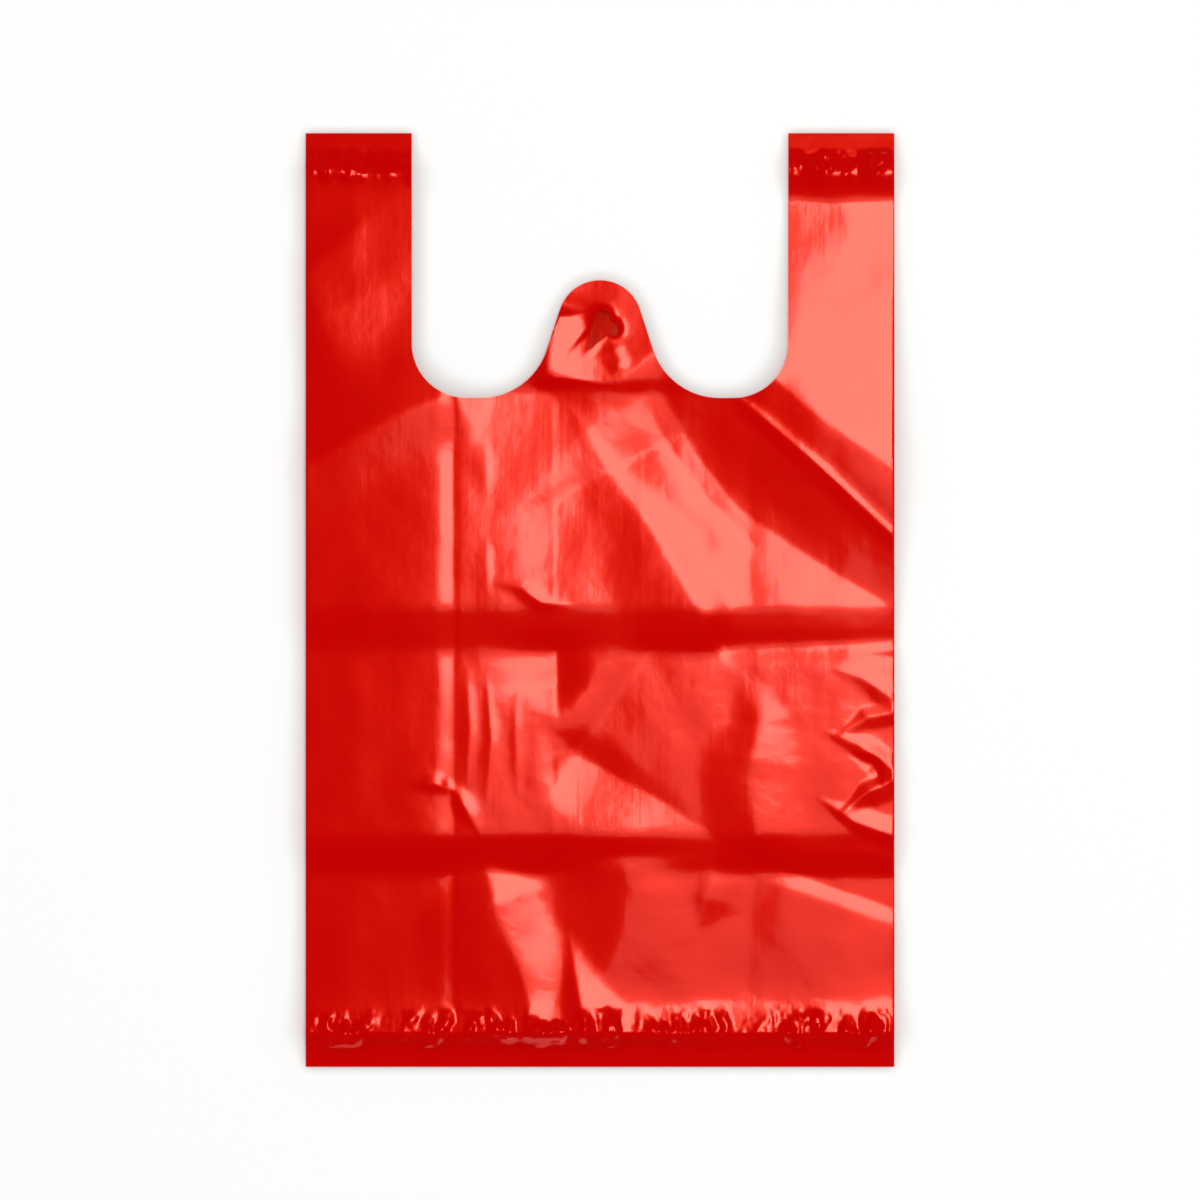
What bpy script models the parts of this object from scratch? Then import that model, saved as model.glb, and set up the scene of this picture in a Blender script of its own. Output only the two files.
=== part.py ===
"""A plastic vest carrier bag of red polyethylene film, lying flat on its back.

The bag is one piece of blown film. A tube of film is pressed flat with a gusset tucked into each side,
welded across near both ends, and the mouth is die cut through all its layers, which leaves two loop
handles and a tab between them. The model is made in the same order: section, length, welds, mouth, hole.

X runs across the bag, Y from the bottom weld to the handles, Z up. The origin is under the bag's middle.
"""

import math

import bmesh
import bpy
import numpy as np
from mathutils import Vector

# The flat tube of film
BAG_WIDTH = 0.300
BAG_LENGTH = 0.476
GUSSET_DEPTH = 0.071
FILM = 0.00005

# How the layers lie on each other
LAYER_GAP = 0.0009
MIDDLE_HEIGHT = 0.0009
GUSSET_DRAPE = 0.010

# The welds, one near each end, with a skirt of loose film beyond
WELD_WIDTH = 0.002
WELD_TO_EDGE = 0.010
WELD_RISE = 0.022
SKIRT_LIFT = 0.0004

# Gathers that the welds draw into the film
GATHER_HEIGHT = 0.0009
GATHER_PITCH = 0.020
GATHER_LENGTH = 0.014

# The die-cut mouth, with its depths taken down from the top of the handles
HANDLE_WIDTH = 0.054
MOUTH_DEPTH = 0.135
CORNER_RADIUS = 0.028
TAB_DROP = 0.075
TAB_RADIUS = 0.0214
TAB_FLARE = math.radians(18)
MOUTH_FLAT = 0.007

# The hole torn in the front layer of the tab
HOLE_SHIFT = 0.0013
HOLE_DROP = 0.0245
HOLE_WIDTH = 0.0135
HOLE_HEIGHT = 0.0155
HOLE_TEAR = 0.0075
HOLE_LIP = 0.0007
HOLE_ROUND = 0.9

# The folds pressed in across the bag while it was packed, as shares of its length, top edge then foot
CROSS_FOLDS = ((0.741, 0.722), (0.494, 0.442), (0.252, 0.212))
CROSS_FOLD_HEIGHT = 0.0010

# Slack folds of the front. Two ends as shares of the half width and of the length, the height of the ridge,
# and how far it falls away to its left and to its right, seen from the first end to the second.
SLACK_FOLDS = (
    ((0.607, 0.734), (1.04, 0.633), 0.0016, 0.040, 0.042),
    ((0.461, 0.712), (1.04, 0.559), 0.0007, 0.006, 0.006),
    ((-0.005, 0.670), (0.223, 0.514), 0.0014, 0.040, 0.015),
    ((0.223, 0.680), (0.512, 0.563), 0.0007, 0.018, 0.008),
    ((-0.490, 0.712), (-1.04, 0.629), 0.0012, 0.014, 0.030),
    ((-0.032, 0.333), (0.478, 0.240), 0.0014, 0.030, 0.008),
    ((0.417, 0.343), (0.485, 0.255), 0.0008, 0.020, 0.006),
    ((-0.321, 0.178), (-0.162, 0.028), 0.0012, 0.016, 0.008),
    ((-0.073, 0.135), (0.002, 0.022), 0.0009, 0.014, 0.006),
    ((0.529, 0.231), (1.04, 0.151), 0.0012, 0.020, 0.010),
    ((0.818, 0.370), (1.04, 0.317), 0.0011, 0.008, 0.005),
    ((0.852, 0.274), (1.04, 0.311), 0.0011, 0.006, 0.006),
)
FOLD_RUN_OUT = 0.18

# How finely the film is divided
FRONT_COLUMN = 0.010
LEAF_COLUMN = 0.026
BACK_COLUMN = 0.040
ROW = 0.016
BEND_STEPS = 3
BEND_REACH = 0.6
ARC_STEPS = 7
CUT_MARGIN = 0.010

# Places that follow from the sizes above
TOP = BAG_LENGTH / 2
BOTTOM = -BAG_LENGTH / 2
LAYERS = 4
STACK = (LAYERS - 1) * LAYER_GAP
FOLD_X = BAG_WIDTH / 2 - FILM
TUCK_X = BAG_WIDTH / 2 - GUSSET_DEPTH
WELDED_STACK = (LAYERS - 1) * 2 * FILM
WELD_THICKNESS = WELDED_STACK + 3 * FILM
LOWER_WELD = BOTTOM + WELD_TO_EDGE
UPPER_WELD = TOP - WELD_TO_EDGE
HOLE_CENTRE = (HOLE_SHIFT, TOP - TAB_DROP - HOLE_DROP)


def clamp(value):
    return max(0.0, min(1.0, value))


def ease(value):
    """A smooth step from 0 to 1."""
    value = clamp(value)
    return value * value * (3 - 2 * value)


def divide(marks, spacing):
    """The marks, with even steps no longer than the spacing between them."""
    places = [marks[0]]
    for start, end in zip(marks, marks[1:]):
        steps = max(1, round(abs(end - start) / spacing))
        places += [start + (end - start) * step / steps for step in range(1, steps + 1)]
    return places


def arc(centre, radius, start, end, steps):
    """Points along an arc, from one angle to another."""
    angles = [start + (end - start) * step / steps for step in range(steps + 1)]
    return [(centre[0] + radius * math.cos(a), centre[1] + radius * math.sin(a)) for a in angles]


def bend(x, z, outward):
    """The points inside a fold of the film, a half circle that joins two layers."""
    angles = [math.pi / 2 - math.pi * step / BEND_STEPS for step in range(1, BEND_STEPS)]
    radius = LAYER_GAP / 2
    return [(x + outward * radius * math.cos(a), z + radius * math.sin(a)) for a in angles]


def half_section():
    """The right half of the tube's section, from the middle of the front to the middle of the back."""
    radius = LAYER_GAP / 2
    outer, inner = FOLD_X - radius, TUCK_X + radius
    drape = [TUCK_X - GUSSET_DRAPE, TUCK_X]
    front = divide([0, *drape, outer], FRONT_COLUMN)
    leaf = divide([outer, inner], LEAF_COLUMN)
    back = divide([outer, 0], BACK_COLUMN)
    points = [(x, STACK) for x in front]
    points += bend(outer, STACK - radius, 1)
    points += [(x, 2 * LAYER_GAP) for x in leaf]
    points += bend(inner, 2 * LAYER_GAP - radius, -1)
    points += [(x, LAYER_GAP) for x in reversed(leaf)]
    points += bend(outer, radius, 1)
    return points + [(x, 0) for x in back]


def whole_section():
    """The closed section: front, gusset, back and the gusset of the other side."""
    right = half_section()
    left = [(-x, z) for x, z in reversed(right[1:-1])]
    return right + left


def stations():
    """The places along the bag where the film is divided."""
    marks = [BOTTOM]
    for weld, inward in ((LOWER_WELD, 1), (UPPER_WELD, -1)):
        marks += [weld - WELD_WIDTH, weld + WELD_WIDTH]
        marks.append(weld + inward * (WELD_WIDTH + GATHER_LENGTH / 2))
        marks.append(weld + inward * (WELD_WIDTH + GATHER_LENGTH))
    for edges in CROSS_FOLDS:
        marks += [BOTTOM + share * BAG_LENGTH for share in edges]
    return divide(sorted([*marks, TOP]), ROW)


def weld_distance(y):
    """How far a place lies from the nearer weld, and whether it is on the bag's side of it."""
    nearer = min(y - LOWER_WELD, UPPER_WELD - y)
    return max(0.0, abs(nearer) - WELD_WIDTH), nearer > 0


def cross_fold(y):
    """Height of the folds pressed across the bag: a long rise down to each, then a short drop."""
    edges = sorted(BOTTOM + share * BAG_LENGTH for pair in CROSS_FOLDS for share in pair)
    heights = [0, CROSS_FOLD_HEIGHT] * len(CROSS_FOLDS)
    return np.interp(y, [LOWER_WELD, *edges, UPPER_WELD], [CROSS_FOLD_HEIGHT, *heights, 0])


def fold_line(fold):
    """The first end of a fold, its direction and its length."""
    start, end = (Vector((x * BAG_WIDTH / 2, BOTTOM + y * BAG_LENGTH)) for x, y in fold[:2])
    return start, (end - start).normalized(), (end - start).length


def slack_fold(x, y, fold):
    """Height of one straight fold: a ridge that falls away to both sides and runs out at its ends."""
    start, along, length = fold_line(fold)
    height, to_left, to_right = fold[2:]
    offset = Vector((x, y)) - start
    share = offset.dot(along) / length
    sideways = along.cross(offset)
    reach = to_left if sideways > 0 else to_right
    run_out = clamp(share / FOLD_RUN_OUT) * clamp((1 - share) / FOLD_RUN_OUT)
    return height * run_out * clamp(1 - abs(sideways) / reach)


def gathers(x, y):
    """Height of the small gathers beside a weld."""
    distance, inside = weld_distance(y)
    if not inside or distance > GATHER_LENGTH:
        return 0.0
    swell = math.sin(math.pi * distance / GATHER_LENGTH)
    return GATHER_HEIGHT * swell * (0.5 + 0.5 * math.cos(2 * math.pi * x / GATHER_PITCH))


def lip(x, y):
    """Height of the film that stands up round the torn hole."""
    distance = math.dist((x, y), HOLE_CENTRE)
    return HOLE_LIP * ease(2 - distance / (HOLE_WIDTH / 2))


def stack_height(x, y):
    """Height of the pressed stack of layers, with the folds that go across all of them."""
    distance, inside = weld_distance(y)
    if not inside:
        return WELDED_STACK + SKIRT_LIFT * distance / WELD_TO_EDGE
    over_gusset = ease((abs(x) - TUCK_X + GUSSET_DRAPE) / GUSSET_DRAPE)
    height = MIDDLE_HEIGHT + (STACK - MIDDLE_HEIGHT) * over_gusset + cross_fold(y)
    return WELDED_STACK + height * ease(distance / WELD_RISE)


def front_height(x, y):
    """Height of the front panel, which also has its own slack folds, gathers and lip."""
    distance, inside = weld_distance(y)
    slack = lip(x, y) + sum(slack_fold(x, y, fold) for fold in SLACK_FOLDS)
    raised = slack * ease(distance / WELD_RISE) if inside else 0.0
    return stack_height(x, y) + raised + gathers(x, y)


def back_height(y):
    """The back lies flat and lifts by one film's thickness where the welds grip it."""
    return FILM / 2 + FILM * (1 - ease(weld_distance(y)[0] / WELD_RISE))


def lay_down(corner):
    """Moves a point of the evenly spaced layers to where it lies, bends pressed as tight as the layers."""
    x, y, z = corner.co
    layer = z / LAYER_GAP
    stack = stack_height(x, y)
    front = front_height(x, y)
    leaf = stack * (LAYERS - 2) / (LAYERS - 1)
    above_leaf = max(0.0, layer - (LAYERS - 2))
    settled = leaf + above_leaf * (front - leaf) if above_leaf else stack * layer / (LAYERS - 1)
    corner.co.z = back_height(y) + settled

    gap = front - leaf if above_leaf else stack / (LAYERS - 1)
    slack = max(0.0, LAYER_GAP - gap) / LAYER_GAP
    from_fold, from_tuck = FOLD_X - abs(x), abs(x) - TUCK_X
    in_leaves = abs(layer - (LAYERS - 1) / 2) < BEND_REACH
    if from_fold < BEND_REACH * LAYER_GAP:
        corner.co.x += math.copysign(slack * from_fold, x)
    elif in_leaves and from_tuck < BEND_REACH * LAYER_GAP:
        corner.co.x -= math.copysign(slack * from_tuck, x)


def crease_front(film, fold):
    """Gives the front panel edges along one fold's ridge and along the feet of its two sides."""
    start, along, length = fold_line(fold)
    across = Vector((-along.y, along.x))
    for sideways in (0, fold[3], -fold[4]):
        line = start + across * sideways
        faces = []
        for face in film.faces:
            centre = face.calc_center_median()
            offset = Vector((centre.x, centre.y)) - line
            on_front = centre.z > STACK - LAYER_GAP / 4
            on_line = abs(offset.dot(across)) < FRONT_COLUMN and 0 < offset.dot(along) < length
            if on_front and on_line:
                faces.append(face)
        edges = {edge for face in faces for edge in face.edges}
        corners = {corner for face in faces for corner in face.verts}
        plane = {"plane_co": (*line, 0), "plane_no": (*across, 0)}
        bmesh.ops.bisect_plane(film, geom=[*corners, *edges, *faces], dist=FILM, **plane)


def blown_tube():
    """The film as an open surface: the section extruded along the bag, creased and laid down."""
    film = bmesh.new()
    places = stations()
    ring = [film.verts.new((x, places[0], z)) for x, z in whole_section()]
    edges = [film.edges.new(pair) for pair in zip(ring, [*ring[1:], ring[0]])]
    for start, end in zip(places, places[1:]):
        grown = bmesh.ops.extrude_edge_only(film, edges=edges)["geom"]
        edges = [item for item in grown if isinstance(item, bmesh.types.BMEdge)]
        corners = [item for item in grown if isinstance(item, bmesh.types.BMVert)]
        bmesh.ops.translate(film, verts=corners, vec=(0, end - start, 0))
    for fold in SLACK_FOLDS:
        crease_front(film, fold)
    for corner in film.verts:
        lay_down(corner)
    bmesh.ops.triangulate(film, faces=film.faces[:])
    return film


def new_object(name, surface, collection):
    mesh = bpy.data.meshes.new(name)
    surface.to_mesh(mesh)
    surface.free()
    made = bpy.data.objects.new(name, mesh)
    collection.objects.link(made)
    return made


def weld_bar(name, y, collection):
    """The fused band across all the layers at one weld."""
    size = (BAG_WIDTH, WELD_WIDTH, WELD_THICKNESS)
    bar = bmesh.new()
    bmesh.ops.create_cube(bar, size=1)
    bmesh.ops.scale(bar, verts=bar.verts[:], vec=size)
    bmesh.ops.translate(bar, verts=bar.verts[:], vec=(0, y, WELD_THICKNESS / 2))
    return new_object(name, bar, collection)


def half_mouth():
    """The right half of the mouth's outline, from the top of the tab to above the handle.

    The tab's straight side is a tangent to its round top and to the foot arc, and the foot arc is as large
    as leaves the flat between it and the corner arc.
    """
    lowest = TOP - MOUTH_DEPTH
    side = BAG_WIDTH / 2 - HANDLE_WIDTH
    tab_centre = (0, TOP - TAB_DROP - TAB_RADIUS)
    corner_centre = (side - CORNER_RADIUS, lowest + CORNER_RADIUS)
    foot_x = corner_centre[0] - MOUTH_FLAT
    drop = (tab_centre[1] - lowest) * math.sin(TAB_FLARE)
    foot_radius = (foot_x * math.cos(TAB_FLARE) - TAB_RADIUS - drop) / (1 - math.sin(TAB_FLARE))
    foot_centre = (foot_x, lowest + foot_radius)
    outline = arc(tab_centre, TAB_RADIUS, math.pi / 2, TAB_FLARE, ARC_STEPS)
    outline += arc(foot_centre, foot_radius, math.pi + TAB_FLARE, 1.5 * math.pi, ARC_STEPS)
    outline += arc(corner_centre, CORNER_RADIUS, -math.pi / 2, 0, ARC_STEPS)
    return outline + [(side, TOP + CUT_MARGIN)]


def mouth_outline():
    right = half_mouth()
    return right + [(-x, y) for x, y in reversed(right[1:])]


def hole_outline():
    """The torn hole: round at its top and right, with a tear that runs down to the left."""
    x, y = HOLE_CENTRE
    radius = HOLE_WIDTH / 2
    low = y - HOLE_HEIGHT / 2
    tear = [(x - radius, low - HOLE_TEAR), (x + radius / 4, low), (x + radius, low + radius / 3)]
    return arc(HOLE_CENTRE, radius, 0, math.pi * HOLE_ROUND, ARC_STEPS) + tear


def cutter(name, outline, low, high, collection):
    """A closed block with the given outline, from one height to another."""
    curve = bpy.data.curves.new(name, "CURVE")
    curve.dimensions = "2D"
    curve.fill_mode = "BOTH"
    curve.extrude = (high - low) / 2
    spline = curve.splines.new("POLY")
    spline.points.add(len(outline) - 1)
    for point, place in zip(spline.points, outline):
        point.co = (*place, 0, 1)
    spline.use_cyclic_u = True
    drawn = bpy.data.objects.new(name + "_outline", curve)
    collection.objects.link(drawn)
    evaluated = drawn.evaluated_get(bpy.context.evaluated_depsgraph_get())
    solid = bmesh.new()
    solid.from_mesh(bpy.data.meshes.new_from_object(evaluated))
    bpy.data.objects.remove(drawn)
    bmesh.ops.remove_doubles(solid, verts=solid.verts[:], dist=FILM)
    bmesh.ops.recalc_face_normals(solid, faces=solid.faces[:])
    bmesh.ops.translate(solid, verts=solid.verts[:], vec=(0, 0, (low + high) / 2))
    return new_object(name, solid, collection)


def boolean(target, operation, other):
    step = target.modifiers.new(other.name, "BOOLEAN")
    step.operation = operation
    step.solver = "EXACT"
    step.object = other
    other.hide_render = True
    other.display_type = "WIRE"


def red_film():
    """Red polyethylene film: glossy, opaque and evenly pigmented."""
    material = bpy.data.materials.new("red_polyethylene_film")
    material.use_nodes = True
    shader = material.node_tree.nodes["Principled BSDF"]
    shader.inputs["Base Color"].default_value = (0.62, 0.004, 0.005, 1)
    shader.inputs["Roughness"].default_value = 0.28
    shader.inputs["Metallic"].default_value = 0
    return material


def main():
    for old in list(bpy.data.objects):
        bpy.data.objects.remove(old)
    parts = bpy.data.collections.new("plastic_carrier_bag")
    cutters = bpy.data.collections.new("cutters")
    for collection in (parts, cutters):
        bpy.context.scene.collection.children.link(collection)

    bag = new_object("carrier_bag", blown_tube(), parts)
    bag.data.materials.append(red_film())
    wall = bag.modifiers.new("film_thickness", "SOLIDIFY")
    wall.thickness = FILM
    wall.offset = 0

    above = STACK + CUT_MARGIN
    between = front_height(*HOLE_CENTRE) / 2
    boolean(bag, "DIFFERENCE", cutter("tab_hole", hole_outline(), between, above, cutters))
    boolean(bag, "UNION", weld_bar("lower_weld", LOWER_WELD, cutters))
    boolean(bag, "UNION", weld_bar("upper_weld", UPPER_WELD, cutters))
    boolean(bag, "DIFFERENCE", cutter("mouth", mouth_outline(), -CUT_MARGIN, above, cutters))


main()
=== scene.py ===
# %% [markdown]
# # A red plastic vest carrier bag
# One bag of thin red polyethylene film, new and flat on its back, seen from straight above.
# The CAD part gives the frame. The film is made again here, fine enough for its creases to catch
# the light.

# %% The CAD part as the frame
import math

import bpy
import numpy as np
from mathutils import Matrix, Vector
from mathutils.geometry import delaunay_2d_cdt


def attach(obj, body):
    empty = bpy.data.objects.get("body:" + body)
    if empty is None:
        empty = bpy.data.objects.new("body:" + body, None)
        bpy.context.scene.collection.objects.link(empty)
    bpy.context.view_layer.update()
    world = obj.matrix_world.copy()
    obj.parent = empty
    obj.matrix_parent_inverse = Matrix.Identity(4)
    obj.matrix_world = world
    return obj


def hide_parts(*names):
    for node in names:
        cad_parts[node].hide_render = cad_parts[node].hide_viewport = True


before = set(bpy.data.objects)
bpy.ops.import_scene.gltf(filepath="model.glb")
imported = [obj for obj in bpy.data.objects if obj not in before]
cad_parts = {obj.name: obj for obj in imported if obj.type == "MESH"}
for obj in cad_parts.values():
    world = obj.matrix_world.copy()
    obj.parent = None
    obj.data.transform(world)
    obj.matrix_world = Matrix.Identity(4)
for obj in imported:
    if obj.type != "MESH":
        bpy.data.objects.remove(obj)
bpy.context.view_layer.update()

# %% [markdown]
# ## Sizes of the bag
# All lengths of the film are millimetres, on the bag seen from above: x across, y towards the
# handles. They are the lay-flat sizes of the pressed tube, its two tucks, its two welds and the
# die-cut mouth.

# %% Sizes
MM = 0.001
HALF_WIDTH = 150.0
TOP, BOTTOM = 238.0, -238.0
TUCK = 79.0
BEND = 0.5
FILM = 0.05
LAYERS = 4
LOWER_WELD, UPPER_WELD = -228.5, 228.5
HANDLE_EDGE = 96.0
MOUTH_LOW = 103.0
CORNER = 28.0
TAB_RADIUS, TAB_TOP = 21.4, 163.0
TAB_FLARE = math.radians(18)
MOUTH_FLAT = 7.0
FOLD_ROW = 2.0
RIM_SPACING, LEAF_SPACING = 1.2, 4

# %% [markdown]
# ## Outlines of the layers
# The die cuts all the layers at once, so every layer takes its edge from the same mouth line.
# The tab's straight side is a tangent to its round top and to the arc at its foot.


# %% Outlines of the layers
def arc(centre, radius, start, end):
    steps = max(2, round(abs(end - start) * radius / RIM_SPACING))
    turn = np.linspace(start, end, steps + 1)
    return np.column_stack([centre[0] + radius * np.cos(turn), centre[1] + radius * np.sin(turn)])


def line(start, end, spacing):
    steps = max(1, round(math.dist(start, end) / spacing))
    share = np.linspace(0, 1, steps + 1)[:, None]
    return np.array(start) * (1 - share) + np.array(end) * share


def chain(*runs):
    """One closed outline from runs of points that meet end to end."""
    points = np.concatenate(runs)
    gaps = np.linalg.norm(points - np.roll(points, 1, axis=0), axis=1)
    return points[gaps > 0.01]


def half_mouth():
    """The right half of the mouth line, from the top of the tab to the top of the handle."""
    tab = (0, TAB_TOP - TAB_RADIUS)
    corner = (HANDLE_EDGE - CORNER, MOUTH_LOW + CORNER)
    foot_x = corner[0] - MOUTH_FLAT
    drop = (tab[1] - MOUTH_LOW) * math.sin(TAB_FLARE)
    foot_radius = (foot_x * math.cos(TAB_FLARE) - TAB_RADIUS - drop) / (1 - math.sin(TAB_FLARE))
    foot = (foot_x, MOUTH_LOW + foot_radius)
    return chain(
        arc(tab, TAB_RADIUS, math.pi / 2, TAB_FLARE),
        arc(foot, foot_radius, math.pi + TAB_FLARE, 1.5 * math.pi),
        arc(corner, CORNER, -math.pi / 2, 0),
        line((HANDLE_EDGE, corner[1]), (HANDLE_EDGE, TOP), FOLD_ROW),
    )


def mirrored(points):
    return points[::-1] * (-1, 1)


FOLD_X = HALF_WIDTH - BEND
TUCK_X = TUCK + BEND
MOUTH = half_mouth()
FOLD = line((FOLD_X, BOTTOM), (FOLD_X, TOP), FOLD_ROW)
PANEL = chain(
    line((-FOLD_X, BOTTOM), (FOLD_X, BOTTOM), RIM_SPACING),
    FOLD,
    line((FOLD_X, TOP), (HANDLE_EDGE, TOP), RIM_SPACING),
    MOUTH[::-1],
    mirrored(MOUTH[::-1]),
    line((-HANDLE_EDGE, TOP), (-FOLD_X, TOP), RIM_SPACING),
    mirrored(FOLD),
)
tuck_turn = -math.acos((TUCK_X - HANDLE_EDGE + CORNER) / CORNER)
corner_arc = arc((HANDLE_EDGE - CORNER, MOUTH_LOW + CORNER), CORNER, 0, tuck_turn)
LEAF = chain(
    line((TUCK_X, BOTTOM), (FOLD_X, BOTTOM), LEAF_SPACING),
    FOLD,
    line((FOLD_X, TOP), (HANDLE_EDGE, TOP), LEAF_SPACING),
    line((HANDLE_EDGE, TOP), (HANDLE_EDGE, MOUTH_LOW + CORNER), LEAF_SPACING),
    corner_arc,
    line(tuple(corner_arc[-1]), (TUCK_X, BOTTOM), FOLD_ROW),
)
HOLE = np.array([
    (-1.6, 146.7), (0.2, 147.6), (1.8, 147.5), (3.6, 147.0), (4.9, 145.7), (5.9, 142.5),
    (7.3, 141.7), (8.5, 140.9), (9.4, 139.4), (9.8, 137.6), (9.4, 135.8), (8.1, 134.7),
    (5.8, 134.6), (3.3, 134.7), (1.1, 133.0), (-1.0, 131.7), (-3.7, 129.4), (-6.4, 127.2),
    (-5.6, 130.6), (-5.2, 134.3), (-4.4, 138.2), (-3.6, 141.8), (-2.6, 144.6),
])[::-1]
HOLE_MIDDLE = (2, 138)
print(len(PANEL), "points round a panel")
print(len(LEAF), "points round a gusset leaf")
print(len(HOLE), "points round the hole")

# %% [markdown]
# ## Creases
# The bag was pressed, folded twice across and shaken out again, and that is all that shapes it.
# Each crease is a line on the bag, with a height at its ridge and the width over which it falls
# away. Left and right are as seen from its first point to its last. Film is stiff, so a ridge is
# rounded.

# %% Creases of the front
UPPER, MIDDLE, LOWER = (-26, 300), (-127, -20), (-300, -134)
CREASES = [
    # panel, points, height, reach to left and right, rounding, opening and closing share
    # Left shoulder and handle
    (UPPER, [(-166, 58), (-107, 93), (-50, 116)], 1.7, 30, 24, 2.0, 0.0, 0.2),
    (UPPER, [(-176, 186), (-150, 158), (-118, 96)], 1.3, 44, 24, 6.0, 0.3, 0.5),
    # Foot of the right handle, the long valley below it and the bright crease between them
    (UPPER, [(80, 122), (92, 110), (112, 94), (170, 54)], 2.8, 64, 52, 1.5, 0.0, 0.0),
    (UPPER, [(24, 122), (51, 71), (72, 45), (107, 22), (168, -15)], -1.6, 52, 96, 2.0, 0.2, 0.0),
    (UPPER, [(24, 122), (51, 71), (72, 45), (107, 22), (168, -15)], -0.6, 46, 26, 1.5, 0.7, 0.0),
    (UPPER, [(66, 106), (82, 94), (112, 68), (156, 27)], 0.40, 2.6, 6, 0.5, 0.1, 0.0),
    (UPPER, [(80, 205), (118, 201), (170, 204)], -1.5, 14, 60, 4.0, 0.0, 0.0),
    # The fan
    (UPPER, [(-16, 100), (5, 63), (28, 32), (52, -8)], 1.2, 14, 32, 2.0, 0.7, 0.0),
    (UPPER, [(24, 100), (38, 74), (54, 52), (84, 24)], -0.22, 5, 6, 1.5, 0.3, 0.4),
    # Centre panel
    (MIDDLE, [(-23, -6), (-21, -60)], -1.1, 15, 22, 1.5, 0.1, 0.3),
    (
        MIDDLE, [(-30, -66), (-8, -81), (30, -101), (76, -130), (170, -164)],
        -1.0, 160, 30, 1.5, 0.1, 0.0,
    ),
    (MIDDLE, [(-28, -64), (-8, -80), (22, -97), (50, -112)], -0.5, 11, 24, 1.5, 0.2, 0.6),
    (MIDDLE, [(72, -34), (80, -62), (75, -92), (82, -140)], 1.1, 24, 20, 3.0, 0.45, 0.0),
    # Lower panel
    (LOWER, [(58, -121), (76, -130), (170, -164)], -0.45, 160, 7, 1.5, 0.15, 0.0),
    (LOWER, [(6, -112), (16, -148), (9, -178), (-3, -200), (-8, -260)], 1.5, 55, 32, 4.0, 0.15, 0.0),
    (LOWER, [(-62, -126), (-52, -161), (-41, -187), (-30, -236)], 1.9, 24, 40, 2.0, 0.25, 0.0),
    (LOWER, [(-16, -170), (-10, -205), (-5, -240)], 1.3, 18, 9, 1.0, 0.5, 0.0),
    (LOWER, [(56, -128), (57, -146), (50, -168)], 0.45, 16, 8, 1.5, 0.4, 0.4),
    # Crumple at the right edge
    (MIDDLE, [(116, -34), (134, -40), (158, -56)], 0.5, 6, 6, 0.8, 0.6, 0.0),
    (MIDDLE, [(118, -72), (136, -60), (158, -56)], 0.5, 5, 6, 0.7, 0.5, 0.0),
    (MIDDLE, [(112, -66), (132, -74), (158, -92)], 0.6, 6, 6, 0.8, 0.5, 0.0),
    (MIDDLE, [(120, -112), (136, -98), (158, -88)], 0.8, 5, 8, 0.7, 0.5, 0.0),
    (MIDDLE, [(110, -100), (130, -113), (158, -124)], 0.7, 8, 5, 0.8, 0.5, 0.0),
    (MIDDLE, [(126, -78), (140, -84), (144, -98)], -0.4, 4, 4, 0.6, 0.4, 0.4),
    (LOWER, [(130, -124), (158, -138)], 0.5, 5, 4, 0.7, 0.5, 0.0),
    # Lengthwise lines
    (UPPER, [(-58, 84), (-58, 50)], 0.12, 2.5, 8.0, 0.5, 0.4, 0.4),
    (UPPER, [(-58, 34), (-57, -1)], 0.14, 2.5, 8.0, 0.5, 0.4, 0.4),
    (UPPER, [(-24.5, 106), (-23.5, -6)], 0.06, 1.3, 10.0, 0.3, 0.05, 0.0),
    (MIDDLE, [(-58, -34), (-55, -72), (-58, -106)], 0.24, 3.0, 4.0, 0.5, 0.4, 0.4),
    (MIDDLE, [(-68, -30), (-66, -64), (-68, -98)], 0.20, 3.0, 4.0, 0.5, 0.4, 0.4),
    (MIDDLE, [(-43, -46), (-42, -104)], 0.16, 3.0, 4.0, 0.5, 0.4, 0.4),
    (MIDDLE, [(-24, -20), (-23.5, -126)], 0.06, 1.3, 10.0, 0.3, 0.0, 0.05),
    # Small kinks where the lines meet the folds across
    (UPPER, [(-54, 9), (-40, 6), (-30, -1), (-12, -3)], 0.5, 4, 4, 0.8, 0.4, 0.4),
    (MIDDLE, [(-98, -95), (-85, -93), (-72, -98)], 0.5, 4, 4, 0.8, 0.4, 0.4),
    (MIDDLE, [(-78, -90), (-60, -121)], 0.5, 5, 5, 0.8, 0.4, 0.4),
    # The tab
    (UPPER, [(-26, 154), (-25, 132), (-28, 108)], 1.0, 24, 6, 2.0, 0.2, 0.12),
    (UPPER, [(-26, 153), (-14, 147), (-3, 138)], -0.5, 9, 16, 0.8, 0.1, 0.1),
    (
        UPPER, [(-36, 126), (-22, 117), (-4, 110), (8, 112), (20, 121), (34, 136)],
        0.7, 44, 12, 1.2, 0.0, 0.0,
    ),
    (UPPER, [(4, 134), (10, 122), (6, 113)], 0.35, 5, 9, 0.8, 0.3, 0.3),
]
PANEL_FADE = 14.0
# Heights of the front across the bag and along it, as pairs of a place and a height
ACROSS = [
    (-150, 2.9), (-125, 3.3), (-100, 3.35), (-80, 3.3), (-76.5, 3.15), (-74, 3.1), (-71.5, 3.2),
    (-60, 3.0), (-45, 2.6), (-26, 2.1), (0, 2.0), (40, 2.0), (70, 1.9), (76, 1.9), (82, 2.05),
    (100, 2.35), (125, 2.6), (150, 2.4),
]
LEFT_TUCK = [
    (-150, 0.3), (-100, 0.42), (-90, 0.42), (-81, 0.36), (-76.5, 0.06), (-74, 0), (150, 0),
]
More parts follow.
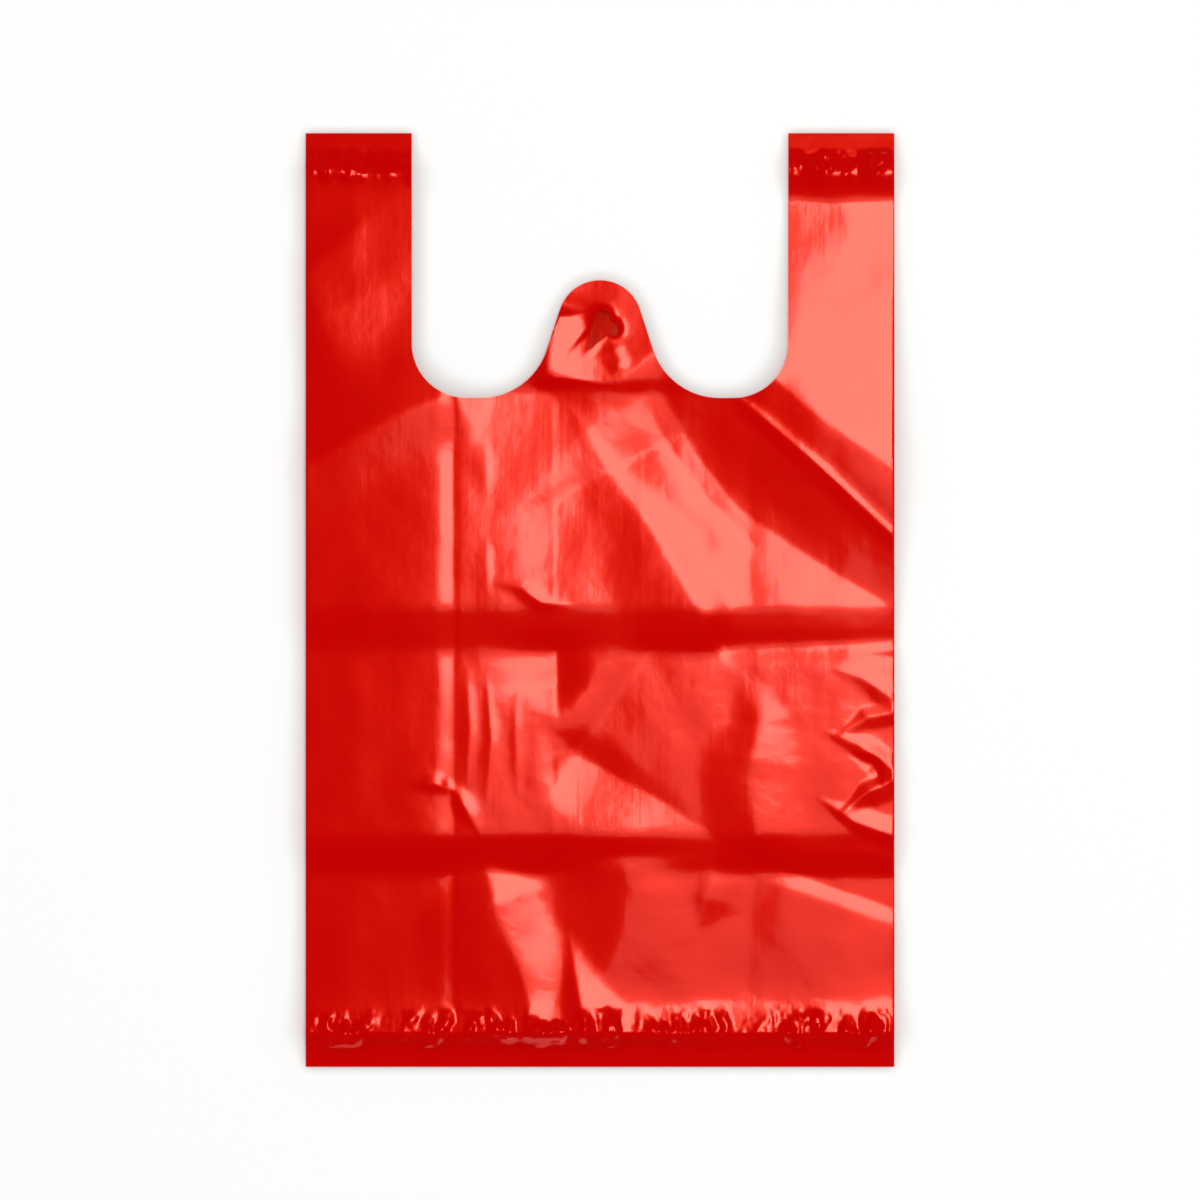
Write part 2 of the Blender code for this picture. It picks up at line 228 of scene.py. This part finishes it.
# Below this place the left tuck shows by this share, and within the fade above it comes to all
LOW_TUCK_PLACE, LOW_TUCK_FADE, LOW_TUCK_SHARE = -146, 20, 0.4
UPPER_FOLD = [(104, 0), (106, 0), (112, 0.45), (160, 0)]
UPPER_FOLD_HALF, UPPER_FOLD_FADE = 60, 40
ALONG = [
    (-238, 1.9), (-139, 0), (-121, 2.5), (-26, 0.6), (-4, 2.3), (106, 0.6), (238, 0.6),
]
FOOT_SOFTNESS = 0.22
LEAST, LEAST_SOFTNESS = 0.45, 0.3
SWELLS, SWELL_SEED, SWELL_SLOPE, SWELL_LENGTHS = 14, 7, 0.0026, (20, 80)
SWELL_TURN, SWELL_BEND, SWELL_BEND_LENGTH = 0.9, 6, 41
# How far from a weld the layers come free of each other, and how the weld lies over the table
LOWER_RISE, UPPER_RISE = 8.5, 13
WELD_LIFT, WELD_LIFT_REACH, SKIRT_SLOPE = 2.2, 16, 0.08
# How the layers under the front rise: at the folded edges, and below the torn hole
EDGE_LIFT, EDGE_START, EDGE_REACH = 3.0, 126, 22
BULGE, BULGE_MIDDLE, BULGE_RADIUS = 1.2, (12, 150), 26
# They rise by no more than this share of the front's height above the back
MOST_UNDER = 0.6
# The torn edge: its least stand, what is added on its high side, where that is, and its reach
LIP, LIP_ADDED, LIP_TURN, LIP_REACH = 0.2, 1.2, 1.3, 1.6


def smooth(value):
    value = np.clip(value, 0, 1)
    return value * value * (3 - 2 * value)


def above(value, floor, softness):
    """The value where it is well above the floor, and just over the floor where it is below."""
    over = value - floor
    return floor + (over + np.sqrt(over * over + softness * softness)) / 2


def profile(points, rounding):
    """A function through listed heights, rounded as stiff film rounds its bends."""
    places, heights = np.array(points, float).T
    fine = np.arange(places[0] - 20, places[-1] + 20, 0.25)
    weights = np.exp(-(np.arange(-12, 12.01, 0.25) ** 2) / (2 * rounding**2))
    drawn = np.interp(fine, places, heights)
    padded = np.pad(drawn, len(weights) // 2, mode="edge")
    rounded = np.convolve(padded, weights / weights.sum(), mode="valid")
    return lambda value: np.interp(value, fine, rounded)


def along_line(x, y, points):
    """Distance to a line of points, the side with left as positive, and the share run along it."""
    best = np.full(x.shape, np.inf)
    side = np.zeros(x.shape)
    run = np.zeros(x.shape)
    done = 0.0
    for (ax, ay), (bx, by) in zip(points, points[1:]):
        length = math.hypot(bx - ax, by - ay)
        ux, uy = (bx - ax) / length, (by - ay) / length
        place = np.clip((x - ax) * ux + (y - ay) * uy, 0, length)
        dx, dy = x - ax - place * ux, y - ay - place * uy
        distance = np.hypot(dx, dy)
        nearer = distance < best
        best = np.where(nearer, distance, best)
        side = np.where(nearer, np.sign(ux * dy - uy * dx), side)
        run = np.where(nearer, done + place, run)
        done += length
    return best, side, run / done


def crease(x, y, points, height, left, right, rounding, opening, closing):
    """Height of one crease. It narrows to a point over its opening share and its closing share."""
    distance, side, run = along_line(x, y, points)
    width = np.minimum(
        1 if opening == 0 else np.clip(run / opening, 0, 1),
        1 if closing == 0 else np.clip((1 - run) / closing, 0, 1),
    )
    width = 0.02 + 0.98 * width
    reach = np.where(side > 0, left, right) * width
    fall = (np.sqrt(distance**2 + rounding**2) - rounding) / reach
    foot = above(1 - fall, 0, FOOT_SOFTNESS) / above(1, 0, FOOT_SOFTNESS)
    return height * width**1.5 * foot


across, along = profile(ACROSS, 1.2), profile(ALONG, 2.0)
upper_fold, left_tuck = profile(UPPER_FOLD, 1.5), profile(LEFT_TUCK, 1.2)


def weld_rise(y):
    """0 at a weld, where all the layers are one, and 1 where the film is free of it."""
    low = smooth((y - LOWER_WELD) / LOWER_RISE)
    high = smooth((UPPER_WELD - y) / UPPER_RISE)
    return np.where(y < 0, low, high)


def weld_lift(y):
    """The stiff weld holds the ends of the bag off the table, and the skirt hangs down from it."""
    inward = np.minimum(y - LOWER_WELD, UPPER_WELD - y)
    lifted = WELD_LIFT * np.exp(-((inward / WELD_LIFT_REACH) ** 2))
    return np.where(inward > 0, lifted, WELD_LIFT + SKIRT_SLOPE * inward)


def film_height(x, y):
    """Height of the front above the back."""
    middle = 1 - smooth((np.abs(x) - UPPER_FOLD_HALF) / UPPER_FOLD_FADE)
    tuck_rise = smooth((y - LOW_TUCK_PLACE) / LOW_TUCK_FADE)
    tuck_shows = LOW_TUCK_SHARE + (1 - LOW_TUCK_SHARE) * tuck_rise
    height = across(x) + along(y) + upper_fold(y) * middle + left_tuck(x) * tuck_shows
    for (panel_low, panel_high), *shape in CREASES:
        from_low = smooth((y - panel_low) / PANEL_FADE + 0.5)
        from_high = smooth((panel_high - y) / PANEL_FADE + 0.5)
        height = height + crease(x, y, *shape) * (from_low * from_high)
    height = height + swells(x, y)
    welded = (LAYERS - 1) * 2 * FILM
    return welded + above(height, LEAST, LEAST_SOFTNESS) * weld_rise(y) + hole_lip(x, y)


def edge_lift(x):
    """The folded edges curl up off the table, and the layers under the front rise towards it."""
    return EDGE_LIFT * smooth((np.abs(x) - EDGE_START) / EDGE_REACH)


def under_hole(x, y):
    """The back bulges under the tab, so what shows in the hole slopes away from the light."""
    distance = np.hypot(x - BULGE_MIDDLE[0], y - BULGE_MIDDLE[1])
    return BULGE * np.clip(1 - distance / BULGE_RADIUS, 0, 1)


def swells(x, y):
    """Broad, low waves with no order, as loose film has everywhere."""
    chance = np.random.default_rng(SWELL_SEED)
    height = np.zeros(x.shape)
    for _ in range(SWELLS):
        length = chance.uniform(*SWELL_LENGTHS)
        turn = chance.uniform(-SWELL_TURN, SWELL_TURN)
        start = chance.uniform(0, 2 * math.pi)
        along_wave = x * math.cos(turn) + y * math.sin(turn)
        bent = along_wave + SWELL_BEND * np.sin(y / SWELL_BEND_LENGTH + start)
        wave = np.sin(2 * math.pi * bent / length + start)
        height += SWELL_SLOPE * length / (2 * math.pi) * wave
    return height


def hole_lip(x, y):
    """The torn edge stands up, most of all above the hole and to its right."""
    outline = [*map(tuple, HOLE), tuple(HOLE[0])]
    distance = along_line(x, y, outline)[0]
    turn = np.arctan2(y - HOLE_MIDDLE[1], x - HOLE_MIDDLE[0])
    stand = LIP + LIP_ADDED * smooth(0.5 + 0.8 * np.cos(turn - LIP_TURN))
    return stand * np.exp(-distance / LIP_REACH)


print(len(CREASES), "creases")

# %% [markdown]
# ## The film as one surface
# Each layer is divided into triangles inside its outline, finely where the film is creased and
# gathered. The layers are then joined along the folds of the tube, three bends on each side, into
# one sheet of film.

# %% The layers of film
CELL = 2.9
FINE = 1.15
FINE_ZONES = [
    ((-150, -238), (150, -208)),
    ((-150, 206), (-96, 238)),
    ((96, 206), (150, 238)),
    ((-24, 103), (24, 164)),
    ((116, -124), (150, -42)),
]
LEAF_CELL = 9.0
# Rows of points beside each crease, along the tucks and along the folded edges
CREASE_ROWS = (-1.8, -0.6, 0.6, 1.8)
TUCK_ROWS = (-80, -78, -76, -74.6, -73.4, -72, 77, 79, 81)
TUCK_LOW, TUCK_HIGH = -206, 104
ROW_SPACING = 2.2
EDGE_ROW, EDGE_ROW_END = 0.9, 236
LIP_RINGS = (0.45, 1.0, 1.7, 2.6, 3.7)
# Least distance from a point to the outline, to the rows beside creases and to the rings
FINE_GAP, COARSE_GAP = 0.35, 3
CREASE_GAP, RING_GAP = 1.4, 0.7
# Points of the rows and of the rings are thinned out to one in a cell of this size
ROW_CELL, RING_CELL = 0.9, 0.35


def lattice(low, high, cell):
    """Points of a triangle lattice in a box."""
    xs = np.arange(low[0], high[0], cell)
    ys = np.arange(low[1], high[1], cell * math.sqrt(0.75))
    x, y = np.meshgrid(xs, ys)
    x[1::2] += cell / 2
    return np.column_stack([x.ravel(), y.ravel()])


def in_box(points, low, high):
    return np.all((points > low) & (points < high), axis=1)


def inside(points, outline):
    x, y = points[:, 0, None], points[:, 1, None]
    (ax, ay), (bx, by) = outline.T, np.roll(outline, -1, axis=0).T
    crosses = (ay > y) != (by > y)
    reach = ax + (y - ay) * (bx - ax) / np.where(by == ay, 1, by - ay)
    return np.sum(crosses & (x < reach), axis=1) % 2 == 1


def clear_of(points, others, gap):
    """The points that are at least the gap away from the others."""
    keep = np.ones(len(points), bool)
    for start in range(0, len(points), 2000):
        part = points[start : start + 2000]
        apart = part[:, None, :] - others[None, :, :]
        keep[start : start + 2000] = (apart**2).sum(axis=2).min(axis=1) > gap * gap
    return points[keep]


def beside_creases():
    """Rows of points on both sides of each crease, so that its ridge has faces of its own."""
    rows = []
    for _, points, *_ in CREASES:
        for start, end in zip(points, points[1:]):
            middle = line(start, end, ROW_SPACING)
            sideways = np.array((start[1] - end[1], end[0] - start[0])) / math.dist(start, end)
            for offset in CREASE_ROWS:
                rows.append(middle + sideways * offset)
    for x in TUCK_ROWS:
        rows.append(line((x, TUCK_LOW), (x, TUCK_HIGH), ROW_SPACING))
    for x in (-FOLD_X + EDGE_ROW, FOLD_X - EDGE_ROW):
        rows.append(line((x, -EDGE_ROW_END), (x, EDGE_ROW_END), FOLD_ROW))
    return thin_out(np.concatenate(rows), ROW_CELL)


def round_the_hole():
    """Rings of points round the torn edge, for its lip."""
    outward = HOLE - HOLE_MIDDLE
    outward /= np.linalg.norm(outward, axis=1)[:, None]
    rings = []
    for offset in LIP_RINGS:
        ring = HOLE + outward * offset
        rings += [ring, (ring + np.roll(ring, 1, axis=0)) / 2]
    return thin_out(np.concatenate(rings), RING_CELL)


def thin_out(points, gap):
    """Drops points that share a small cell with an earlier one."""
    cells = np.round(points / gap).astype(int)
    first = np.unique(cells, axis=0, return_index=True)[1]
    return points[np.sort(first)]


def front_points():
    zones = [lattice(low, high, FINE) for low, high in FINE_ZONES]
    creased = beside_creases()
    lip = round_the_hole()
    wide = lattice((-150, -238), (150, 238), CELL)
    for low, high in FINE_ZONES:
        creased = creased[~in_box(creased, low, high)]
        wide = wide[~in_box(wide, low, high)]
    wide = clear_of(wide, creased, CREASE_GAP)
    zoned = clear_of(np.concatenate(zones), lip, RING_GAP)
    return np.concatenate([zoned, creased, wide, lip])


def divided(outline, points, gap, hole=None):
    """Triangles inside an outline, through its own points and those given."""
    edge = outline if hole is None else np.concatenate([outline, hole])
    kept = points[inside(points, outline)]
    if hole is not None:
        kept = kept[~inside(kept, hole)]
    kept = clear_of(kept, edge, gap)
    every = [Vector(p) for p in np.concatenate([edge, kept])]
    loops = [list(range(len(outline)))]
    if hole is not None:
        loops.append(list(range(len(outline), len(edge))))
    found = delaunay_2d_cdt(every, [], loops, 1, 1e-4, True)
    places = np.array([tuple(p) for p in found[0]])
    faces = [face for face, source in zip(found[2], found[5]) if len(source) == 1]
    new_number = {old: new for new, olds in enumerate(found[3]) for old in olds}
    rim = [new_number[number] for number in range(len(outline))]
    return places, np.array(faces), rim


def layer(outline, points, gap, level, turned_over, hole=None):
    places, faces, rim = divided(outline, points, gap, hole)
    if turned_over:
        faces = faces[:, ::-1]
    on_rim = {tuple(np.round(places[number], 3)): number for number in rim}
    return {"places": places, "faces": faces, "rim": on_rim, "level": level}


coarse = lattice((-150, -238), (150, 238), LEAF_CELL)
left_leaf = mirrored(LEAF)
film_layers = {
    "front": layer(PANEL, front_points(), FINE_GAP, 3, False, HOLE),
    "right upper leaf": layer(LEAF, coarse, COARSE_GAP, 2, True),
    "right lower leaf": layer(LEAF, coarse, COARSE_GAP, 1, False),
    "left upper leaf": layer(left_leaf, coarse, COARSE_GAP, 2, True),
    "left lower leaf": layer(left_leaf, coarse, COARSE_GAP, 1, False),
    "back": layer(PANEL, coarse, COARSE_GAP, 0, True),
}
for name, made in film_layers.items():
    print(name, len(made["places"]), "points", len(made["faces"]), "faces")

# %% [markdown]
# The layers are laid down one on the other. Each takes its share of the height of the front above
# the back, so they press together evenly and never cross. A bend is half an ellipse of film
# between two layers.

# %% One sheet of film
FOLDS = [
    ("front", "right upper leaf", FOLD_X, 1),
    ("right lower leaf", "back", FOLD_X, 1),
    ("right upper leaf", "right lower leaf", TUCK_X, -1),
    ("front", "left upper leaf", -FOLD_X, 1),
    ("left lower leaf", "back", -FOLD_X, 1),
    ("left upper leaf", "left lower leaf", -TUCK_X, -1),
]


def joined_layers():
    """Corners, faces and layer levels of the whole sheet."""
    corners, faces, levels = [], [], []
    first = {}
    total = 0
    for name, made in film_layers.items():
        first[name] = total
        x, y = made["places"].T
        share = made["level"] / (LAYERS - 1)
        height = film_height(x, y)
        z = FILM / 2 + weld_lift(y) + height * share
        under = np.minimum(edge_lift(x) + under_hole(x, y), MOST_UNDER * height)
        z += under * (1 - share)
        corners.append(np.column_stack([x, y, z]))
        faces += (made["faces"] + total).tolist()
        levels.append(np.full(len(x), made["level"]))
        total += len(x)
    corners = np.concatenate(corners)
    for upper, lower, x, outward in FOLDS:
        ends = [film_layers[upper]["rim"], film_layers[lower]["rim"]]
        shared = [place for place in ends[0] if place in ends[1] and abs(place[0] - x) < 0.01]
        shared.sort(key=lambda place: place[1])
        top = np.array([first[upper] + ends[0][place] for place in shared])
        bottom = np.array([first[lower] + ends[1][place] for place in shared])
        middle = (corners[top] + corners[bottom]) / 2
        half = (corners[top, 2] - corners[bottom, 2]) / 2
        rows = [top]
        for turn in (math.pi / 4, 0, -math.pi / 4):
            ring = middle.copy()
            ring[:, 0] += math.copysign(BEND, x) * outward * math.cos(turn)
            ring[:, 2] += half * math.sin(turn)
            corners = np.concatenate([corners, ring])
            rows.append(np.arange(total, total + len(ring)))
            levels.append(np.full(len(ring), film_layers[upper]["level"] - 0.5))
            total += len(ring)
        rows.append(bottom)
        for over, under in zip(rows, rows[1:]):
            quads = np.column_stack([over[1:], over[:-1], under[:-1], under[1:]])
            faces += (quads if x > 0 else quads[:, ::-1]).tolist()
    return corners, faces, np.concatenate(levels)


def new_object(name, mesh):
    made = bpy.data.objects.new(name, mesh)
    bpy.context.scene.collection.objects.link(made)
    return made


corners, faces, levels = joined_layers()
mesh = bpy.data.meshes.new("film_bag")
mesh.from_pydata((corners * MM).tolist(), [], faces)

# %% [markdown]
# ## Pigmented polyethylene film
# Red pigment fills the film, so light that goes in comes back red, and the soft sheen on it is red
# too. The blown surface on top is smoother, and gives a small white shine. Fine lines run along
# the bag, drawn by the die lips as the tube was blown, and the film is a little uneven between
# them.


# %% Material
FILM_RED = "#CC0002"
SHEEN_TINT = (1.0, 0.05, 0.012, 1.0)
LINE_PITCH, LINE_LENGTH, UNEVEN_PITCH = 0.004, 0.120, 0.020


def linear(hex_colour):
    """An sRGB colour as linear values for a shader."""
    channels = [int(hex_colour[k : k + 2], 16) / 255 for k in (1, 3, 5)]
    return [c / 12.92 if c <= 0.04045 else ((c + 0.055) / 1.055) ** 2.4 for c in channels] + [1]


def add_node(tree, kind, settings=None, **inputs):
    """A node with its settings, and its inputs set to values or linked to sockets."""
    node = tree.nodes.new(kind)
    for key, value in (settings or {}).items():
        setattr(node, key, value)
    for key, value in inputs.items():
        by_number = key[1:].isdigit()
        socket = node.inputs[int(key[1:]) if by_number else key.replace("_", " ")]
        if isinstance(value, bpy.types.NodeSocket):
            tree.links.new(value, socket)
        else:
            socket.default_value = value
    return node


def noise_node(tree, dimensions, place, scale, detail):
    settings = {"noise_dimensions": dimensions}
    return add_node(
        tree, "ShaderNodeTexNoise", settings, Vector=place, Scale=scale, Detail=detail
    )


def red_film():
    material = bpy.data.materials.new("pigmented_blown_polyethylene_film")
    material.use_nodes = True
    tree = material.node_tree
    tree.nodes.clear()
    place = add_node(tree, "ShaderNodeTexCoord").outputs["Object"]
    drawn = add_node(
        tree, "ShaderNodeMapping", Vector=place, Scale=(1 / LINE_PITCH, 1 / LINE_LENGTH, 1)
    )
    lines = noise_node(tree, "2D", drawn.outputs[0], 1.0, 3.0)
    uneven = noise_node(tree, "3D", place, 1 / UNEVEN_PITCH, 4.0)
    fine_lines = add_node(
        tree, "ShaderNodeBump", Strength=0.18, Distance=0.0001, Height=lines.outputs[0]
    )
    surface = add_node(
        tree,
        "ShaderNodeBump",
        Strength=0.45,
        Distance=0.0004,
        Height=uneven.outputs[0],
        Normal=fine_lines.outputs[0],
    )
    film = add_node(
        tree,
        "ShaderNodeBsdfPrincipled",
        Base_Color=linear(FILM_RED),
        Roughness=0.22,
        IOR=1.6,
        Specular_IOR_Level=1.0,
        Specular_Tint=SHEEN_TINT,
        Coat_Weight=0.32,
        Coat_Roughness=0.10,
        Coat_IOR=1.5,
        Normal=surface.outputs[0],
        Coat_Normal=surface.outputs[0],
    )
    output = add_node(tree, "ShaderNodeOutputMaterial", Surface=film.outputs[0])
    print(material.name, len(tree.nodes), "nodes to", output.name)
    return material


film_material = red_film()

# %% [markdown]
# ## Gathers at the welds
# A weld shrinks the film as it cools, and draws it into small gathers that stand beside it.
# They follow one rule over the whole width, so geometry nodes lift the front of the film by it.


# %% Gathers
# Where the noise makes a crest, and where along a weld the crests are high or low
CREST_GAIN, CREST_CUT = 4.5, -2.0
PATCH_GAIN, PATCH_CUT, PATCH_LEAST = 5.0, -1.6, 0.25
# The band of gathers: how far out of the weld it starts, how long it stays and how it fades
BAND_OUT, BAND_START, BAND_FADE = 1, 3, 16
LOWER_BAND, UPPER_BAND = 7, 4
SIDE_MARGIN, SIDE_FADE = 1, 3


def new_tree(name, inputs):
    """A geometry node tree with named inputs, a Geometry input first and a Geometry output."""
    tree = bpy.data.node_groups.new(name, "GeometryNodeTree")
    for label, kind in [("Geometry", "NodeSocketGeometry"), *inputs]:
        tree.interface.new_socket(label, in_out="INPUT", socket_type=kind)
    tree.interface.new_socket("Geometry", in_out="OUTPUT", socket_type="NodeSocketGeometry")
    return tree, tree.nodes.new("NodeGroupInput"), tree.nodes.new("NodeGroupOutput")


def math_node(tree, operation, a, b=0.0, c=0.0):
    node = add_node(tree, "ShaderNodeMath", {"operation": operation}, _0=a, _1=b, _2=c)
    return node.outputs[0]


def finish_tree(tree, given, result, geometry):
    whole = add_node(tree, "GeometryNodeRealizeInstances", Geometry=geometry)
    painted = add_node(
        tree,
        "GeometryNodeSetMaterial",
        Geometry=whole.outputs[0],
        Material=given.outputs["Material"],
    )
    tree.links.new(painted.outputs[0], result.inputs[0])


def gather_tree():
    names = ("Pitch", "Length", "Patch", "Height", "Seed")
    kinds = [(name, "NodeSocketFloat") for name in names]
    kinds.append(("Material", "NodeSocketMaterial"))
    tree, given, result = new_tree("weld gathers", kinds)
    place = add_node(tree, "GeometryNodeInputPosition")
    split = add_node(tree, "ShaderNodeSeparateXYZ", Vector=place.outputs[0])
    across_weld = math_node(tree, "DIVIDE", split.outputs[0], given.outputs["Pitch"])
    along_bag = math_node(tree, "DIVIDE", split.outputs[1], given.outputs["Length"])
    scaled = add_node(
        tree, "ShaderNodeCombineXYZ", X=across_weld, Y=along_bag, Z=given.outputs["Seed"]
    )
    noise = noise_node(tree, "3D", scaled.outputs[0], 1.0, 2.0)
    crest = math_node(tree, "MULTIPLY_ADD", noise.outputs[0], CREST_GAIN, CREST_CUT)
    crest = math_node(tree, "MAXIMUM", crest, 0.0)
    across_patch = math_node(tree, "DIVIDE", split.outputs[0], given.outputs["Patch"])
    patch_place = add_node(
        tree, "ShaderNodeCombineXYZ", X=across_patch, Y=given.outputs["Seed"], Z=0.0
    )
    patches = noise_node(tree, "3D", patch_place.outputs[0], 1.0, 1.0)
    patch = math_node(tree, "MULTIPLY_ADD", patches.outputs[0], PATCH_GAIN, PATCH_CUT)
    patch = math_node(tree, "MAXIMUM", patch, PATCH_LEAST)
    patch = math_node(tree, "MINIMUM", patch, 1.0)
    crest = math_node(tree, "MULTIPLY", crest, patch)
    weight = add_node(
        tree, "GeometryNodeInputNamedAttribute", {"data_type": "FLOAT"}, Name="gather"
    )
    lift = math_node(tree, "MULTIPLY", crest, weight.outputs[0])
    lift = math_node(tree, "MULTIPLY", lift, given.outputs["Height"])
    offset = add_node(tree, "ShaderNodeCombineXYZ", X=0.0, Y=0.0, Z=lift)
    moved = add_node(
        tree,
        "GeometryNodeSetPosition",
        Geometry=given.outputs["Geometry"],
        Offset=offset.outputs[0],
    )
    finish_tree(tree, given, result, moved.outputs[0])
    return tree


def give_inputs(modifier, tree, **values):
    for item in tree.interface.items_tree:
        if item.in_out == "INPUT" and item.name in values:
            modifier[item.identifier] = values[item.name]


def applied(piece):
    """The piece's mesh with its modifiers applied, and none left."""
    evaluated = piece.evaluated_get(bpy.context.evaluated_depsgraph_get())
    done = bpy.data.meshes.new_from_object(evaluated)
    piece.modifiers.clear()
    piece.data = done
    return done


def gather_weight(x, y):
    """Where the welds gather the film: a short way in from each, and a little way out."""
    bands = []
    for inward, length in ((y - LOWER_WELD, LOWER_BAND), (UPPER_WELD - y, UPPER_BAND)):
        start = smooth((inward + BAND_OUT) / BAND_START)
        bands.append(start * (1 - smooth((inward - length) / BAND_FADE)))
    sides = smooth((HALF_WIDTH - SIDE_MARGIN - np.abs(x)) / SIDE_FADE)
    return np.maximum(*bands) * sides


on_front = levels == LAYERS - 1
weights = np.where(on_front, gather_weight(corners[:, 0], corners[:, 1]), 0)
gather_values = mesh.attributes.new("gather", "FLOAT", "POINT").data
gather_values.foreach_set("value", weights.astype(np.float32))
film = new_object("film_bag", mesh)
tree = gather_tree()
gathers = film.modifiers.new("gathers", "NODES")
gathers.node_group = tree
give_inputs(
    gathers,
    tree,
    Pitch=0.0095,
    Length=0.018,
    Patch=0.030,
    Height=0.0024,
    Seed=4.0,
    Material=film_material,
)
applied(film)
print("gathers moved", int((weights > 0).sum()), "points")

# %% [markdown]
# The film has a real thickness. It is given to the finished sheet, half to each side, and closes
# its edges.

# %% Thickness
wall = film.modifiers.new("thickness", "SOLIDIFY")
wall.thickness = FILM * MM
wall.offset = 0
applied(film)
film.data.polygons.foreach_set("use_smooth", [True] * len(film.data.polygons))
film.data.set_sharp_from_angle(angle=math.radians(75))
film.data.update()
print("film", len(film.data.polygons), "faces")

# %% [markdown]
# ## Studio
# The bag lies on a white table. A ring of low soft lamps lights it from all sides, so that it
# has a soft shadow all round. Two soft boxes hang above its right half, and the film that faces
# them shines. The camera looks straight down from far off through a long lens.

# %% Studio
scene = bpy.context.scene
CAMERA_HEIGHT, FRAME_WIDTH, SENSOR_WIDTH = 6.0, 0.612, 36
TABLE_TOP, TABLE_HALF = -0.0001, 4
LAMP_HEIGHT = 2.5
RING_LAMPS, RING_RADIUS, RING_HEIGHT = 8, 3.0, 1.8
RING_SIZE, RING_WATTS = (2.2, 0.8), 14.5
WARM_WHITE, COOL_WHITE, ROOM_WHITE = (1.0, 0.93, 0.80), (0.97, 0.98, 1.0), (0.96, 0.98, 1.0, 1.0)
LAMPS = [
    # name, low corner, high corner over the table, turn, watts
    ("key_soft_box", (0.130, 0.010), (0.520, 0.570), -12, 11.5),
    ("wide_soft_box", (-0.020, -0.235), (0.520, 0.610), 4, 3.1),
]

floor_mesh = bpy.data.meshes.new("table")
quarters = ((-1, -1), (1, -1), (1, 1), (-1, 1))
floor_corners = [(x * TABLE_HALF, y * TABLE_HALF, TABLE_TOP) for x, y in quarters]
floor_mesh.from_pydata(floor_corners, [], [(0, 1, 2, 3)])
floor = new_object("table", floor_mesh)
white = bpy.data.materials.new("matt_white_table")
white.use_nodes = True
matt = white.node_tree.nodes["Principled BSDF"].inputs
matt["Base Color"].default_value = linear("#FAFAFA")
matt["Roughness"].default_value = 0.9
matt["Specular IOR Level"].default_value = 0.0
floor_mesh.materials.append(white)


def soft_box(name, size, place, watts, colour):
    lamp_data = bpy.data.lights.new(name, "AREA")
    lamp_data.shape = "RECTANGLE"
    lamp_data.size, lamp_data.size_y = size
    lamp_data.energy = watts
    lamp_data.color = colour
    lamp = bpy.data.objects.new(name, lamp_data)
    lamp.location = place
    scene.collection.objects.link(lamp)
    return lamp


for name, lamp_low, lamp_high, turn, watts in LAMPS:
    size = (lamp_high[0] - lamp_low[0], lamp_high[1] - lamp_low[1])
    middle_x, middle_y = ((a + b) / 2 for a, b in zip(lamp_low, lamp_high))
    lamp = soft_box(name, size, (middle_x, middle_y, LAMP_HEIGHT), watts, WARM_WHITE)
    lamp.rotation_euler = (0, 0, math.radians(turn))

for number in range(RING_LAMPS):
    turn = 2 * math.pi * (number + 0.5) / RING_LAMPS
    place = Vector((RING_RADIUS * math.cos(turn), RING_RADIUS * math.sin(turn), RING_HEIGHT))
    lamp = soft_box("ring_soft_box", RING_SIZE, place, RING_WATTS, COOL_WHITE)
    lamp.rotation_euler = (-place).to_track_quat("-Z", "Y").to_euler()
    lamp.visible_glossy = False

world = bpy.data.worlds.new("white_room")
world.use_nodes = True
room = world.node_tree.nodes["Background"].inputs
room["Color"].default_value = ROOM_WHITE
room["Strength"].default_value = 0.40
world.cycles_visibility.glossy = False
scene.world = world

camera_data = bpy.data.cameras.new("camera")
camera_data.sensor_width = SENSOR_WIDTH
camera_data.lens = SENSOR_WIDTH * CAMERA_HEIGHT / FRAME_WIDTH
camera = bpy.data.objects.new("camera", camera_data)
camera.location = (0, 0, CAMERA_HEIGHT)
scene.collection.objects.link(camera)
scene.camera = camera
scene.view_settings.view_transform = "Standard"
print("camera lens", round(camera_data.lens, 1), "mm")

# %% [markdown]
# ## Placing
# The film stands for the CAD part, and is a sheet: the whole tube, cut open and laid flat, before
# the mouth was cut out of it.

# %% Placing
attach(film, "root")
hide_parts("carrier_bag")
